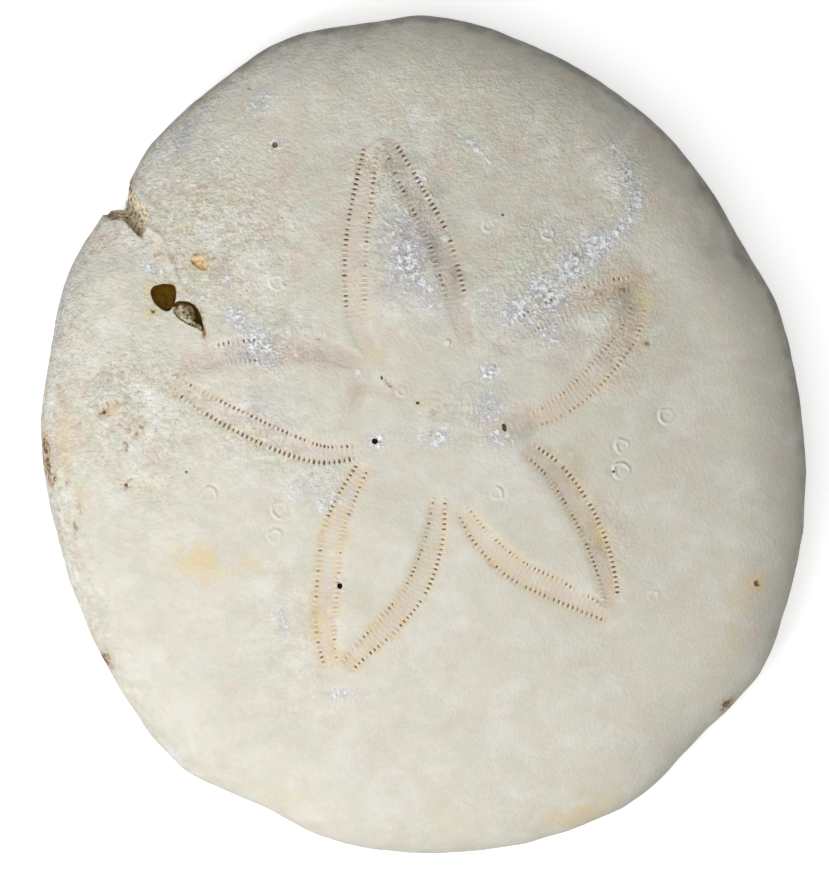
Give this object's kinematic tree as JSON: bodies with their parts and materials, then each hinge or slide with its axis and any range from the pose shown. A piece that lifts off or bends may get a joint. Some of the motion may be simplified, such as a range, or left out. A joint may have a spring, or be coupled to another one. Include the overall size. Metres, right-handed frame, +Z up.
{
  "type": "sand dollar",
  "caption": "Dry test of a thick-rimmed sand dollar: low domed disc with a five-petalled star, flat underside with a mouth pit, chipped rim.",
  "frame": {"origin": "on the resting plane, under the middle of the outline's box", "axes": "+Z up through the star, underside down; +Y towards the front of the animal, which is turned about 11 degrees towards -X; +X to the right seen from above"},
  "size_m": [0.1003, 0.1099, 0.0215],
  "materials": {
    "test": "chalky, sun-bleached matt calcite, cream to grey, with tan pore rows and small brown stains"
  },
  "bodies": {
    "root": {"test": "test"}
  },
  "joints": []
}
